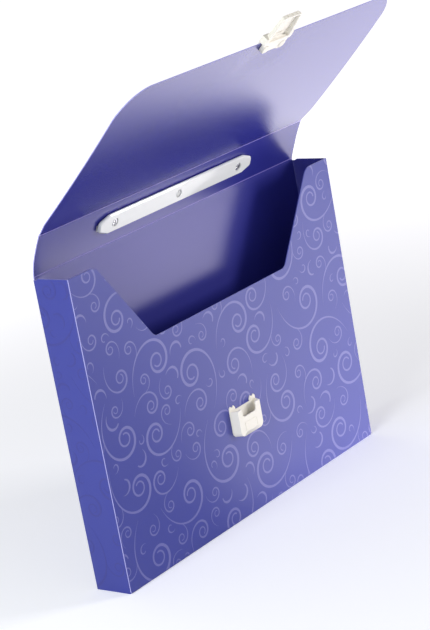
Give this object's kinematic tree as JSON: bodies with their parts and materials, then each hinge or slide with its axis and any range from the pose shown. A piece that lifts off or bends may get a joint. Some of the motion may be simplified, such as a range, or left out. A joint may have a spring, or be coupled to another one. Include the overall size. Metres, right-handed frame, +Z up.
{
  "type": "document case",
  "caption": "Folded plastic document case with a hinged lid flap, a push-in latch clasp with a sprung button, and a carry handle with a swinging grip.",
  "frame": {"origin": "centre of the case's bottom face, on the surface that it stands on", "axes": "+Z up, -Y out of the front panel that carries the latch pocket, +X to the right seen from the front"},
  "size_m": [0.337, 0.153, 0.3989],
  "materials": {
    "case_sheet": "satin blue-violet polypropylene sheet with a fine grain and a slightly lighter raised scroll pattern",
    "moulded_ivory": "smooth warm white injection moulding",
    "screw_metal": "bright plated steel"
  },
  "bodies": {
    "box": {"back_panel": "case_sheet", "bottom_panel": "case_sheet", "front_panel": "case_sheet", "left_side_panel": "case_sheet", "right_side_panel": "case_sheet", "left_weld_tab": "case_sheet", "right_weld_tab": "case_sheet", "latch_receiver": "moulded_ivory", "receiver_backing_plate": "moulded_ivory"},
    "strip": {"top_strip": "case_sheet", "handle_inner_plate": "moulded_ivory", "handle_base": "moulded_ivory", "handle_screw_left": "screw_metal", "handle_screw_right": "screw_metal"},
    "grip": {"handle_grip": "moulded_ivory"},
    "flap": {"flap_panel": "case_sheet", "latch_clasp": "moulded_ivory", "clasp_cover": "moulded_ivory", "clasp_rivet_left": "moulded_ivory", "clasp_rivet_right": "moulded_ivory"},
    "button": {"latch_button": "moulded_ivory"}
  },
  "joints": [
    {"name": "strip_fold", "type": "hinge", "parent": "box", "child": "strip", "pos_m": [0, 0.0171, 0.248], "axis": [1, 0, 0], "range_deg": [-90, 65.17]},
    {"name": "flap_fold", "type": "hinge", "parent": "strip", "child": "flap", "pos_m": [0, 0.00223, 0.28013], "axis": [1, 0, 0], "range_deg": [-23.17, 65.23]},
    {"name": "handle_swing", "type": "hinge", "parent": "strip", "child": "grip", "pos_m": [0, 0.01629, 0.26856], "axis": [-1, 0, 0], "range_deg": [0, 120]},
    {"name": "button_press", "type": "hinge", "parent": "flap", "child": "button", "pos_m": [0, -0.12837, 0.39691], "axis": [-1, 0, 0], "range_deg": [0, 7], "stiffness_Nm_per_rad": 0.2}
  ]
}
